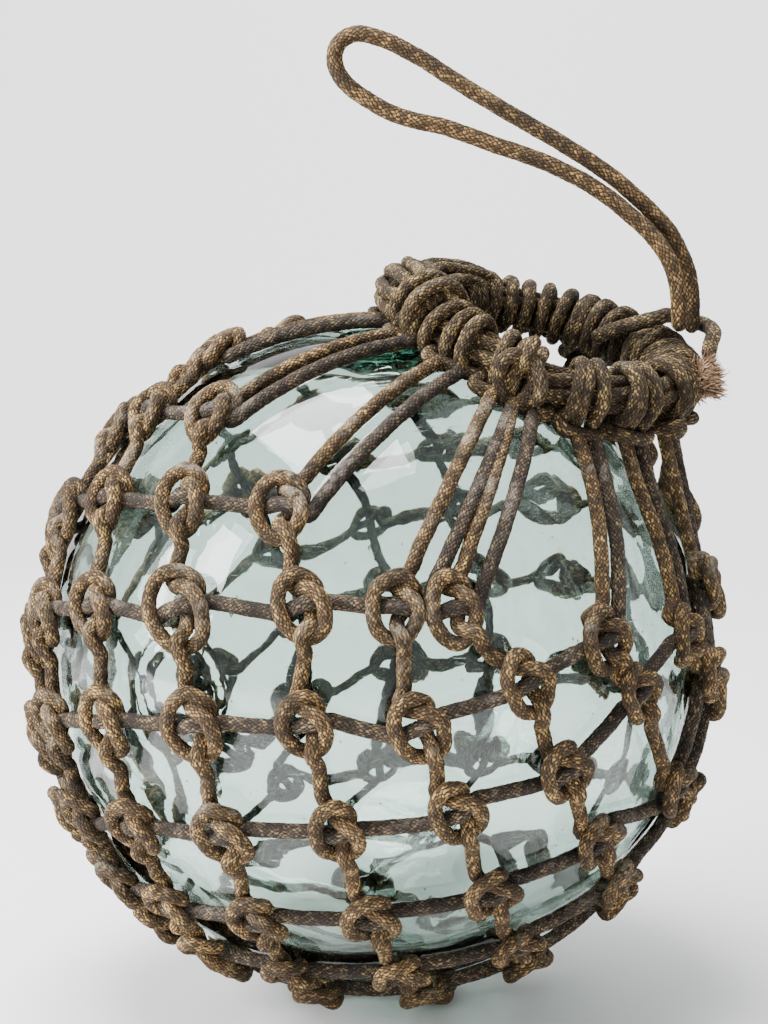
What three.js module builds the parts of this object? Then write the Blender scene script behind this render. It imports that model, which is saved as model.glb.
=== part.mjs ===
// A large glass fishing float: a blown glass ball in a knotted rope net, with a rope
// collar round the net's mouth and a doubled rope handle.
// Millimetres, +Z up. The origin is on the ground under the middle of the float.
import * as THREE from 'three';

// ---- Driving dimensions ---------------------------------------------------------------
const BALL_R = 150;               // outer radius of the glass ball
const NET_ROPE = 7;               // diameter of the net's rope
const HANDLE_ROPE = 7.5;          // diameter of the handle's rope
const GAP = 0.4;                  // clearance between pieces that touch
const SIT = 1.2;                  // a knot's flat underside off the glass, so that the straight
                                  // legs between two knots clear the round of the ball
const KNOT_H = 15;                // how far a knot stands off the glass
const KNOT_LONG = 15.5;           // half length of a knot along its column
const KNOT_WIDE = 13;             // half width of a knot across its column
const REST_H = 161.2;             // height of the ball's centre above the ground

// The net: levels of knots about a tilted axis, half a step apart from level to level.
const COLUMNS = 13;               // knots in one level
const TOP_COLUMNS = [6, 12];      // the extra top level -1 spans these columns only
const LAST_LEVEL = 8;             // the level next to the closing ring underneath
const AXIS_TILT = 37.8;           // degrees, from +Z towards +X
const AXIS_LEAN = 16.4;           // degrees, from there towards -Y
const FIRST_AZIMUTH = 223.5;      // degrees, knot of level 0 in column 4
const LEVEL_ANGLES = [54.4, 10.25, 0.23];   // polar angle = a + b * level + c * level^2
const LEVEL_TWIST = 0.6;          // degrees of azimuth a level
const PULL = [-9.4, -3.7, 0.2, -2.6];       // polar pull: cos, sin, cos 2, sin 2 of azimuth
const PULL_FADES = [125, 165];    // polar angles between which the pull dies away
const SWAY = [2.2, 1.9, 0.8, 2.1];          // azimuth sway: cos, sin, cos 2, sin 2
const NUDGED = [                  // knots tied out of line: level, column, down, round
  [-1, 6, 5.8, -4.6], [0, 7, -2.5, -2.5], [1, 7, 4.5, 4], [1, 4, -2.5, 1.5], [1, 5, 2, 1],
];
const SETTLE = [22, -2];          // shift of the knots under the ball where it has settled
const SETTLE_ANGLE = 24;          // degrees round the lowest point that the shift fades over
const FEET = [[7, 4], [8, 3], [8, 4]];      // knots that the float rests on, pressed flat
const END_RING_R = 24;            // outer radius of the closing ring underneath

// The collar: a rope ring wrapped by the net's hitches, a little tilted and off centre.
const COLLAR_AT = [73, -5, 146];  // its centre from the ball's centre
const COLLAR_UP = [0.2, -0.07, 0.977];
const COLLAR_R = 61;              // radius of the ring's centre line
const COLLAR_HALF = 9.6;          // half thickness of the ring with its wraps
const COLLAR_RIDGES = 26;         // wraps that show as ridges
const RIDGE = 1.6;                // how far a ridge stands up
const BUNDLE = { at: 176, spread: 34, extra: 2.6 };  // thick bundle of strands at one end
const HITCH_HALF_ANGLE = 4.2;     // degrees between a hitch's middle and each of its legs

// The handle: one rope bent double. Its route from the collar, out and back.
const HANDLE_ROUTE = [
  [145.5, 8, 146], [144.5, 6, 166.5], [142, 5, 176.5], [134, 4, 192], [122, 3, 204.5],
  [106.5, 2.5, 217.5], [85.5, 2, 231], [60, 2, 245.5], [37, 1, 259], [19.5, 1, 270],
  [2.5, 0, 278], [-8.5, 0, 280], [-16, 0, 276], [-18, 0, 269], [-15, 0, 260.5],
  [-3.5, 0, 251], [11.5, 0, 243.5], [32, -1, 238.5], [53.5, -1, 231], [76.5, -2, 223],
  [98.5, -2.5, 212], [114, -3, 200.5], [127, -4, 188], [134.5, -5, 175.5],
  [137, -6, 164.5], [138, -6, 147],
];
const TURN_ROUTE = [              // the collar rope's turn round the foot of the handle
  [102, 27, 143], [116, 14, 149], [129, 4, 153], [135, 13, 154], [145, 16.5, 152],
  [153, 10, 149], [154, -2, 146], [151, -12, 141], [149, -19, 136],
];

// ---- Small helpers ---------------------------------------------------------------------
const deg = THREE.MathUtils.degToRad;
const vec = (a) => new THREE.Vector3(...a);
const wave = (k, a) => (
  k[0] * Math.cos(a) + k[1] * Math.sin(a) + k[2] * Math.cos(2 * a) + k[3] * Math.sin(2 * a));

// A closed mesh written triangle by triangle.
class Shell {
  constructor() {
    this.points = [];
    this.faces = [];
  }

  point(p) {
    this.points.push(p.x, p.y, p.z);
    return this.points.length / 3 - 1;
  }

  tri(a, b, c) {
    this.faces.push(a, b, c);
  }

  // A four-sided face, its corners counter-clockwise as seen from outside.
  quad(a, b, c, d) {
    this.tri(a, b, c);
    this.tri(a, c, d);
  }

  // Joins two equal loops of corners, each counter-clockwise seen from the far end.
  bridge(from, to) {
    from.forEach((corner, i) => {
      const next = (i + 1) % from.length;
      this.quad(corner, from[next], to[next], to[i]);
    });
  }

  geometry() {
    const shape = new THREE.BufferGeometry();
    shape.setAttribute('position', new THREE.Float32BufferAttribute(this.points, 3));
    shape.setIndex(this.faces);
    shape.computeVertexNormals();
    return shape;
  }
}

// ---- Where the knots are ---------------------------------------------------------------
const netAxis = vec([
  Math.sin(deg(AXIS_TILT)) * Math.cos(deg(AXIS_LEAN)),
  -Math.sin(deg(AXIS_LEAN)),
  Math.cos(deg(AXIS_TILT)) * Math.cos(deg(AXIS_LEAN)),
]);
const netZero = new THREE.Vector3(1, 0, 0).addScaledVector(netAxis, -netAxis.x).normalize();
const netQuarter = netAxis.clone().cross(netZero);

// The column as an index from 0, whichever way round the net it was counted.
const wrap = (column) => ((column % COLUMNS) + COLUMNS) % COLUMNS;

function hasKnot(level, column) {
  if (level > LAST_LEVEL) return false;
  if (level >= 0) return true;
  return level === -1 && wrap(column) >= TOP_COLUMNS[0] && wrap(column) <= TOP_COLUMNS[1];
}

// Direction from the ball's centre to a knot.
function knotDirection(level, column) {
  const nudge = NUDGED.find(([l, c]) => l === level && c === wrap(column)) ?? [0, 0, 0, 0];
  const step = 360 / COLUMNS;
  const plain = deg(FIRST_AZIMUTH + step * (wrap(column) - 4 + 0.5 * level));
  const polar = LEVEL_ANGLES[0] + LEVEL_ANGLES[1] * level + LEVEL_ANGLES[2] * level * level;
  const fade = THREE.MathUtils.inverseLerp(...[...PULL_FADES].reverse(), polar);
  const pull = wave(PULL, plain) * THREE.MathUtils.clamp(fade, 0, 1);
  const theta = deg(polar + pull + nudge[2]);
  const phi = plain + deg(wave(SWAY, plain) + LEVEL_TWIST * level + nudge[3]);
  const way = netAxis.clone().multiplyScalar(Math.cos(theta));
  way.addScaledVector(netZero, Math.sin(theta) * Math.cos(phi));
  way.addScaledVector(netQuarter, Math.sin(theta) * Math.sin(phi));
  const below = Math.acos(-way.z) / deg(SETTLE_ANGLE);
  const settled = Math.exp(-below * below) / BALL_R;
  way.x += SETTLE[0] * settled;
  way.y += SETTLE[1] * settled;
  return way.normalize();
}

// ---- The collar's own frame ------------------------------------------------------------
const ballAt = new THREE.Vector3(0, 0, REST_H);
const collarAt = vec(COLLAR_AT).add(ballAt);
const collarUp = vec(COLLAR_UP).normalize();
const collarRight = new THREE.Vector3(1, 0, 0).addScaledVector(collarUp, -collarUp.x);
collarRight.normalize();
const collarBack = collarUp.clone().cross(collarRight);

function collarOut(angle) {
  return collarRight.clone().multiplyScalar(Math.cos(angle))
    .addScaledVector(collarBack, Math.sin(angle));
}

// How much of the section at an angle round the collar is the bundle, from 0 to 1.
function bundleShare(angle) {
  const off = THREE.MathUtils.euclideanModulo(angle - deg(BUNDLE.at) + Math.PI, 2 * Math.PI);
  const near = (off - Math.PI) / deg(BUNDLE.spread);
  return Math.exp(-near * near);
}

const collarHalf = (angle) => COLLAR_HALF + BUNDLE.extra * bundleShare(angle);
const ridgeHeight = (angle) => RIDGE * (1 - bundleShare(angle));

// The collar's centre line: a tilted circle that rides over the glass where it would touch.
function collarCore(angle) {
  const core = collarOut(angle).multiplyScalar(COLLAR_R).add(collarAt).sub(ballAt);
  const least = BALL_R + GAP + collarHalf(angle) + ridgeHeight(angle);
  return core.setLength(Math.max(core.length(), least)).add(ballAt);
}

function collarAngleOf(point) {
  const away = point.clone().sub(collarAt);
  return Math.atan2(away.dot(collarBack), away.dot(collarRight));
}

// ---- The net ---------------------------------------------------------------------------
const net = new Shell();
const LEG_HALF = NET_ROPE / 2 - 0.1;
const HITCH_LEG_STEPS = 3;        // straight lengths in a leg that runs to the collar
const LONGEST_STEP = 46;          // a leg between knots bends once for each such length

// Ties one knot: a low cushion with a dimple, and an open face towards each leg.
// `legs` are unit directions; returns each leg's open face, as four corners.
function tieKnot(way, columnWay, legs, size, foot) {
  const across = way.clone().cross(columnWay);
  const bearings = legs.map((leg) => Math.atan2(leg.dot(across), leg.dot(columnWay)));
  const order = bearings.map((_, i) => i).sort((a, b) => bearings[a] - bearings[b]);
  spread(order, bearings, size.least);
  const reach = (b) => 1 / Math.hypot(Math.cos(b) / size.long, Math.sin(b) / size.wide);
  const place = (b, out, up) => {
    const spot = way.clone().multiplyScalar(BALL_R + up).add(ballAt);
    spot.addScaledVector(columnWay, Math.cos(b) * out);
    spot.addScaledVector(across, Math.sin(b) * out);
    if (foot) spot.z = Math.max(spot.z, 0);
    return spot;
  };
  const faces = [];
  const rim = [];
  order.forEach((leg, i) => {
    const b = bearings[leg];
    const half = Math.asin(LEG_HALF / reach(b));
    const corners = [b - half, b + half].map((angle) => {
      const out = reach(b) / Math.cos(half);
      return {
        low: net.point(place(angle, out * 0.93, SIT)),
        high: net.point(place(angle, out, SIT + 2 * LEG_HALF)),
        b: angle,
      };
    });
    faces[leg] = [corners[0].low, corners[1].low, corners[1].high, corners[0].high];
    const following = bearings[order[(i + 1) % order.length]];
    const gap = THREE.MathUtils.euclideanModulo(following - b, 2 * Math.PI) || 2 * Math.PI;
    const crestAt = place(b + gap / 2, reach(b + gap / 2) * size.crest, size.high);
    if (foot) crestAt.z = 0;
    rim.push({ corners, crest: net.point(crestAt) });
  });
  const middle = place(0, 0, size.high * 0.66);
  if (foot) middle.z = 0;
  const dimple = net.point(middle);
  const floor = rim.flatMap(({ corners }) => corners.map((c) => c.low));
  for (let i = 1; i + 1 < floor.length; i += 1) net.tri(floor[0], floor[i + 1], floor[i]);
  rim.forEach(({ corners, crest }, i) => {
    const before = rim[(i + rim.length - 1) % rim.length].crest;
    const after = rim[(i + 1) % rim.length].corners[0];
    net.quad(corners[1].low, after.low, after.high, corners[1].high);
    net.tri(corners[1].high, after.high, crest);
    net.quad(corners[0].high, corners[1].high, crest, before);
    net.tri(before, crest, dimple);
  });
  return faces;
}

// Turns neighbouring legs apart until they leave the knot at least `least` radians apart.
function spread(order, bearings, least) {
  for (let i = 0; i < order.length; i += 1) {
    const a = order[i];
    const b = order[(i + 1) % order.length];
    const gap = THREE.MathUtils.euclideanModulo(bearings[b] - bearings[a], 2 * Math.PI);
    if (gap < least) {
      bearings[a] -= (least - gap) / 2;
      bearings[b] += (least - gap) / 2;
    }
  }
}

// The flat direction, square to `way`, that leads towards a point or direction.
function headingFrom(way, target) {
  return target.clone().addScaledVector(way, -target.dot(way)).normalize();
}

// Where a hitch's leg meets the collar, and the loop of corners that ends it.
function hitchEnd(angle, from) {
  const core = collarCore(angle);
  const towards = from.clone().sub(core).normalize();
  const end = core.addScaledVector(towards, collarHalf(angle) + ridgeHeight(angle) + GAP);
  const side = new THREE.Vector3().crossVectors(towards, collarUp).normalize();
  const over = side.clone().cross(towards);
  return [[-1, -1], [1, -1], [1, 1], [-1, 1]].map(([s, o]) => end.clone()
    .addScaledVector(side, s * LEG_HALF).addScaledVector(over, o * LEG_HALF));
}

const cornerAt = (corner) => vec(net.points.slice(3 * corner, 3 * corner + 3));

// Carries a leg from a knot's open face towards four far corners, clear of the glass all
// the way, in equal steps of which the last is left out. Returns its last loop of corners.
function carryLeg(face, far, steps) {
  let last = face;
  for (let i = 1; i < steps; i += 1) {
    const ring = face.map((corner, k) => {
      const spot = cornerAt(corner).lerp(far[k], i / steps).sub(ballAt);
      const least = BALL_R + SIT + (k > 1 ? 2 * LEG_HALF : 0);
      return net.point(spot.setLength(Math.max(spot.length(), least)).add(ballAt));
    });
    net.bridge(last, ring);
    last = ring;
  }
  return last;
}

// A leg from its knot up to the collar, where it ends square.
function runToCollar(face, angle) {
  const middle = cornerAt(face[0]).add(cornerAt(face[2])).multiplyScalar(0.5);
  const far = hitchEnd(angle, middle);
  const last = carryLeg(face, far, HITCH_LEG_STEPS);
  const end = far.map((spot) => net.point(spot));
  net.bridge(last, end);
  net.quad(...end);
}

// Joins two open faces that look at each other.
function joinFaces(a, b) {
  const far = [b[1], b[0], b[3], b[2]];
  const run = cornerAt(a[0]).distanceTo(cornerAt(far[0]));
  net.bridge(carryLeg(a, far.map(cornerAt), Math.ceil(run / LONGEST_STEP)), far);
}

const PLAIN_KNOT = {
  long: KNOT_LONG, wide: KNOT_WIDE, high: KNOT_H, crest: 0.6, least: deg(52),
};
const END_RING = { long: END_RING_R, wide: END_RING_R, high: 11, crest: 0.7, least: 0 };

// Every knot's legs: up and down its own column, and across to the columns beside it.
function legsOf(level, column) {
  const ends = {
    up: [level - 1, column], right: [level - 1, column + 1],
    left: [level + 1, column - 1], down: [level + 1, column],
  };
  if (level === LAST_LEVEL) delete ends.left;
  return ends;
}

const openFaces = new Map();      // 'level,column,leg' -> the open face of that leg
const endRingWays = [];
for (let level = -1; level <= LAST_LEVEL; level += 1) {
  for (let column = 0; column < COLUMNS; column += 1) {
    if (hasKnot(level, column)) tieNetKnot(level, column);
  }
}

function tieNetKnot(level, column) {
  const way = knotDirection(level, column);
  const legs = legsOf(level, column);
  const names = Object.keys(legs);
  const spot = way.clone().multiplyScalar(BALL_R).add(ballAt);
  const hitch = collarAngleOf(spot);
  const targets = names.map((name) => {
    if (hasKnot(...legs[name])) return knotDirection(...legs[name]);
    if (level === LAST_LEVEL) return netAxis.clone().negate();
    const angle = hitch + (name === 'up' ? -1 : 1) * deg(HITCH_HALF_ANGLE);
    return collarCore(angle).sub(ballAt);
  });
  const headings = targets.map((target) => headingFrom(way, target));
  const columnWay = headings[names.indexOf('down')];
  const foot = FEET.some(([l, c]) => l === level && c === column);
  const faces = tieKnot(way, columnWay, headings, PLAIN_KNOT, foot);
  names.forEach((name, i) => {
    if (hasKnot(...legs[name])) {
      openFaces.set([level, column, name].join(), faces[i]);
    } else if (level === LAST_LEVEL) {
      endRingWays.push({ way, face: faces[i] });
    } else {
      runToCollar(faces[i], hitch + (name === 'up' ? -1 : 1) * deg(HITCH_HALF_ANGLE));
    }
  });
}

for (const [key, face] of openFaces) {
  const [level, column, name] = key.split(',');
  const partner = { down: 'up', left: 'right' }[name];
  if (partner) {
    const [otherLevel, otherColumn] = legsOf(Number(level), Number(column))[name];
    joinFaces(face, openFaces.get([otherLevel, wrap(otherColumn), partner].join()));
  }
}

const endWay = netAxis.clone().negate();
const endHeadings = endRingWays.map(({ way }) => headingFrom(endWay, way));
tieKnot(endWay, endHeadings[0], endHeadings, END_RING, false)
  .forEach((face, i) => joinFaces(endRingWays[i].face, face));

// ---- The collar ------------------------------------------------------------------------
function makeCollar() {
  const collar = new Shell();
  const steps = 2 * COLLAR_RIDGES;
  const sides = 8;
  const loops = [];
  for (let i = 0; i < steps; i += 1) {
    const angle = (2 * Math.PI * i) / steps;
    const half = collarHalf(angle) + (i % 2) * ridgeHeight(angle);
    const out = collarOut(angle);
    loops.push(Array.from({ length: sides }, (_, s) => {
      const turn = (2 * Math.PI * (s + 0.5)) / sides;
      const spot = collarCore(angle).addScaledVector(out, half * Math.cos(turn));
      return collar.point(spot.addScaledVector(collarUp, half * Math.sin(turn)));
    }));
  }
  loops.forEach((loop, i) => collar.bridge([...loop].reverse(),
    [...loops[(i + 1) % steps]].reverse()));
  return collar.geometry();
}

// ---- Ropes swept along a route ---------------------------------------------------------
function makeRope(route, diameter, steps, sides) {
  const outline = new THREE.Shape(Array.from({ length: sides }, (_, i) => {
    const turn = (2 * Math.PI * i) / sides;
    return new THREE.Vector2(Math.cos(turn), Math.sin(turn)).multiplyScalar(diameter / 2);
  }));
  const path = new THREE.CatmullRomCurve3(route.map((p) => vec(p).add(ballAt)));
  return new THREE.ExtrudeGeometry(outline, { steps, extrudePath: path });
}

// ---- The float -------------------------------------------------------------------------
function piece(name, geometry, color, roughness) {
  const material = new THREE.MeshStandardMaterial({ color, roughness, metalness: 0 });
  const mesh = new THREE.Mesh(geometry, material);
  mesh.name = name;
  return mesh;
}

const ball = new THREE.IcosahedronGeometry(BALL_R, 6).translate(...ballAt.toArray());
const float = new THREE.Group();
float.add(
  piece('glass_ball', ball, 0xa9bdb4, 0.08),
  piece('net', net.geometry(), 0x6b5238, 0.9),
  piece('collar', makeCollar(), 0x5f4932, 0.9),
  piece('handle_turn', makeRope(TURN_ROUTE, NET_ROPE, 16, 8), 0x6b5238, 0.9),
);
const middle = new THREE.Box3().setFromObject(float).getCenter(new THREE.Vector3());
float.add(piece('handle_loop', makeRope(HANDLE_ROUTE, HANDLE_ROPE, 44, 8), 0x74593a, 0.95));

const group = new THREE.Group();
group.add(float);
float.position.set(-middle.x, -middle.y, 0);

export default group;
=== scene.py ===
"""A large netted glass fishing float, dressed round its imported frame.

The glass is a hollow blown ball with a seal, a pad and seeds. The net is made of real
ropes, each one a path through its own overhand knots. All lengths are in metres unless a
name ends in _MM.
"""

import bpy
import numpy as np
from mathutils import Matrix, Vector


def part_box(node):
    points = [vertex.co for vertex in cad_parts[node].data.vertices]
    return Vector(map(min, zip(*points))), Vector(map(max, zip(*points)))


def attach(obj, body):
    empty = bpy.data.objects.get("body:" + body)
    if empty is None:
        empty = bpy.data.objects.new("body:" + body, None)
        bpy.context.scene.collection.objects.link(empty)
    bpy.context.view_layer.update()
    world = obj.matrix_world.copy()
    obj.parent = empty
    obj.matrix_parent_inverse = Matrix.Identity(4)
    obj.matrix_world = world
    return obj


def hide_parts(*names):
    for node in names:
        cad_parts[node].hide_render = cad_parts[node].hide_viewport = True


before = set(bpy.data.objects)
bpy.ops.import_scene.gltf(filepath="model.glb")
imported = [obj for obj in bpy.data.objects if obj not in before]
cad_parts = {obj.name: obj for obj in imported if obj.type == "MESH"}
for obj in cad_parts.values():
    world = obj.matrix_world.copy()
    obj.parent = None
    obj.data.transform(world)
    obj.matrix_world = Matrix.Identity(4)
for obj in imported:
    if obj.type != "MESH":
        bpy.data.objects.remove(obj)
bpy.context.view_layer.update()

MM = 0.001

# ---- Sizes that the whole float shares, in millimetres ----------------------------------
NET_ROPE_MM = 6.3
HANDLE_ROPE_MM = 7.5
WALL_MM = 5.5

ball_low, ball_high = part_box("glass_ball")
BALL_AT = np.array([
    (ball_low[0] + ball_high[0]) / 2, (ball_low[1] + ball_high[1]) / 2, 0.1612]) / MM
BALL_R = 150.0


# ---- Small helpers ----------------------------------------------------------------------
def unit(v):
    """Each vector over its own length."""
    v = np.asarray(v, float)
    return v / np.linalg.norm(v, axis=-1, keepdims=True)


def flat_to(way, target):
    """The part of target square to way, as a unit vector."""
    target = np.asarray(target, float)
    return unit(target - way * np.dot(target, way))


def hashed(*keys):
    """A steady number from 0 to 1 for a set of whole numbers: the fraction of a large sine."""
    total = sum(k * m for k, m in zip(keys, (12.9898, 78.233, 37.719, 4.581, 93.989)))
    return (np.sin(total) * 43758.5453) % 1.0


def spread_of(*keys):
    """A steady number from -1 to 1 for a set of whole numbers."""
    return 2 * hashed(*keys) - 1


def new_object(name, data):
    """An object at the origin, put in the scene, for a mesh, a camera or a light."""
    made = bpy.data.objects.new(name, data)
    bpy.context.scene.collection.objects.link(made)
    return made


# ---- The net's lattice of knots ---------------------------------------------------------
COLUMNS = 13
TOP_COLUMNS = (6, 12)
LAST_LEVEL = 8
AXIS_TILT, AXIS_LEAN = np.radians(37.8), np.radians(16.4)
FIRST_AZIMUTH = 223.5
LEVEL_ANGLES = (54.4, 10.25, 0.23)
LEVEL_TWIST = 0.6
PULL = (-9.4, -3.7, 0.2, -2.6)
PULL_FADES = (125, 165)
SWAY = (2.2, 1.9, 0.8, 2.1)
NUDGED = {(-1, 6): (5.8, -4.6), (0, 7): (-2.5, -2.5), (1, 7): (4.5, 4), (1, 4): (-2.5, 1.5),
          (1, 5): (2, 1)}
SETTLE = np.array([22, -2, 0])
SETTLE_ANGLE = 24

net_axis = np.array([np.sin(AXIS_TILT) * np.cos(AXIS_LEAN), -np.sin(AXIS_LEAN),
                     np.cos(AXIS_TILT) * np.cos(AXIS_LEAN)])
net_zero = flat_to(net_axis, (1, 0, 0))
net_quarter = np.cross(net_axis, net_zero)


def wave(k, a):
    """First and second harmonics of an angle."""
    return (k[0] * np.cos(a) + k[1] * np.sin(a) + k[2] * np.cos(2 * a)
            + k[3] * np.sin(2 * a))


def has_knot(level, column):
    """Whether there is a knot: in every column from level 0 to the last, and at level -1 in
    the top columns alone."""
    if level > LAST_LEVEL:
        return False
    if level >= 0:
        return True
    return level == -1 and TOP_COLUMNS[0] <= column % COLUMNS <= TOP_COLUMNS[1]


def knot_way(level, column):
    """Direction from the ball's centre to a knot: a polar angle and an azimuth about the
    net's axis, both pulled by harmonics of the azimuth, and shifted where the float rests."""
    column = column % COLUMNS
    down, round_ = NUDGED.get((level, column), (0, 0))
    plain = np.radians(FIRST_AZIMUTH + 360 / COLUMNS * (column - 4 + 0.5 * level))
    polar = LEVEL_ANGLES[0] + LEVEL_ANGLES[1] * level + LEVEL_ANGLES[2] * level ** 2
    fade = np.clip((PULL_FADES[1] - polar) / (PULL_FADES[1] - PULL_FADES[0]), 0, 1)
    theta = np.radians(polar + wave(PULL, plain) * fade + down)
    phi = plain + np.radians(wave(SWAY, plain) + LEVEL_TWIST * level + round_)
    way = (net_axis * np.cos(theta) + net_zero * np.sin(theta) * np.cos(phi)
           + net_quarter * np.sin(theta) * np.sin(phi))
    below = np.arccos(-way[2]) / np.radians(SETTLE_ANGLE)
    return unit(way + SETTLE * np.exp(-below ** 2) / BALL_R)


# ---- The collar's frame -----------------------------------------------------------------
COLLAR_AT = BALL_AT + np.array([76, -7, 140.5])
COLLAR_UP = unit([0.22, -0.24, 0.945])
COLLAR_R = 61.0
collar_right = flat_to(COLLAR_UP, (1, 0, 0))
collar_back = np.cross(COLLAR_UP, collar_right)
COLLAR_HALF = 9.4       # from the centre line to the glass below it
BUNDLE_AT = 176         # the angle of the bundle's middle, in degrees
BUNDLE_SPREAD = 34      # how far round the bundle reaches to each side, in degrees
BUNDLE_EXTRA = 2.0      # how much more room the bundle needs over the glass


def collar_out(angle):
    """Unit vectors away from the mouth's middle, at angles round the collar."""
    angle = np.asarray(angle, float)[..., None]
    return np.cos(angle) * collar_right + np.sin(angle) * collar_back


def bundle_share(angle):
    """How much of the bundle there is at an angle: a bell curve about its middle."""
    off = (np.asarray(angle, float) - np.radians(BUNDLE_AT) + np.pi) % (2 * np.pi) - np.pi
    return np.exp(-(off / np.radians(BUNDLE_SPREAD)) ** 2)


def collar_core(angle):
    """The collar's centre line: a tilted circle that rides over the glass where it would
    touch it."""
    core = collar_out(angle) * COLLAR_R + COLLAR_AT - BALL_AT
    least = BALL_R + 0.4 + COLLAR_HALF + BUNDLE_EXTRA * bundle_share(angle)
    length = np.linalg.norm(core, axis=-1, keepdims=True)
    return core / length * np.maximum(length, np.asarray(least)[..., None]) + BALL_AT


def collar_spot(angle, turn, away):
    """A point by the collar: at an angle round it, at a turn about its own centre line
    (0 outwards, a quarter turn up), and so far from that line."""
    turn = np.asarray(turn, float)[..., None]
    away = np.asarray(away, float)[..., None]
    return collar_core(angle) + away * (np.cos(turn) * collar_out(angle)
                                        + np.sin(turn) * COLLAR_UP)


def collar_angle(point):
    """The angle round the collar at which a point lies."""
    away = point - COLLAR_AT
    return np.arctan2(away @ collar_back, away @ collar_right)


# ---- Ropes ------------------------------------------------------------------------------
ROPE_SIDES = 12
ROPE_GAP_MM = 0.1       # the least gap between a rope and the glass
MAP_SHIFT_MM = 400      # how far apart along the braid two ropes' maps may start


def smooth_path(points, step):
    """A rope's centre line through its points: a centripetal Catmull-Rom curve, resampled to
    equal steps."""
    p = np.asarray(points, float)
    p = np.vstack([2 * p[0] - p[1], p, 2 * p[-1] - p[-2]])
    knots = np.concatenate([[0], np.cumsum(np.sqrt(np.linalg.norm(np.diff(p, axis=0), axis=1)))])
    fine = np.linspace(0, 1, 12, endpoint=False)
    n = len(p) - 3
    t0, t1, t2, t3 = (knots[i:i + n, None, None] for i in range(4))
    p0, p1, p2, p3 = (p[i:i + n, None, :] for i in range(4))
    t = t1 + (t2 - t1) * fine[None, :, None]
    a1 = (t1 - t) / (t1 - t0) * p0 + (t - t0) / (t1 - t0) * p1
    a2 = (t2 - t) / (t2 - t1) * p1 + (t - t1) / (t2 - t1) * p2
    a3 = (t3 - t) / (t3 - t2) * p2 + (t - t2) / (t3 - t2) * p3
    b1 = (t2 - t) / (t2 - t0) * a1 + (t - t0) / (t2 - t0) * a2
    b2 = (t3 - t) / (t3 - t1) * a2 + (t - t1) / (t3 - t1) * a3
    c = (t2 - t) / (t2 - t1) * b1 + (t - t1) / (t2 - t1) * b2
    line = np.vstack([c.reshape(-1, 3), p[-2]])
    run = np.concatenate([[0], np.cumsum(np.linalg.norm(np.diff(line, axis=0), axis=1))])
    count = max(int(round(run[-1] / step)), 2)
    at = np.linspace(0, run[-1], count + 1)
    return np.stack([np.interp(at, run, line[:, k]) for k in range(3)], axis=1)


def clear_of_glass(line, least):
    """Puts every point that is nearer the ball's centre than `least` straight out to it."""
    away = line - BALL_AT
    length = np.linalg.norm(away, axis=1, keepdims=True)
    return BALL_AT + away / length * np.maximum(length, least)


def settle_on_glass(line, radius):
    """Lifts every point of a centre line until the rope clears the glass."""
    return clear_of_glass(line, BALL_R + radius + ROPE_GAP_MM)


def frames_along(line):
    """Two unit vectors square to a centre line at each of its points, turned as little as
    possible on the way: the running product of the small turns from each tangent to the
    next, gathered by doubling."""
    tangent = unit(np.gradient(line, axis=0))
    axis = np.cross(tangent[:-1], tangent[1:])
    cosine = np.sum(tangent[:-1] * tangent[1:], axis=1)
    skew = np.zeros((len(axis), 3, 3))
    skew[:, 0, 1], skew[:, 0, 2], skew[:, 1, 2] = -axis[:, 2], axis[:, 1], -axis[:, 0]
    skew -= np.transpose(skew, (0, 2, 1))
    turns = np.tile(np.eye(3), (len(line), 1, 1))
    turns[1:] += skew + skew @ skew / (1 + cosine)[:, None, None]
    reach = 1
    while reach < len(line):
        turns[reach:] = turns[reach:] @ turns[:-reach].copy()
        reach *= 2
    side = turns @ flat_to(tangent[0], (0.3, 0.5, 0.81))
    return side, np.cross(tangent, side)


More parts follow.
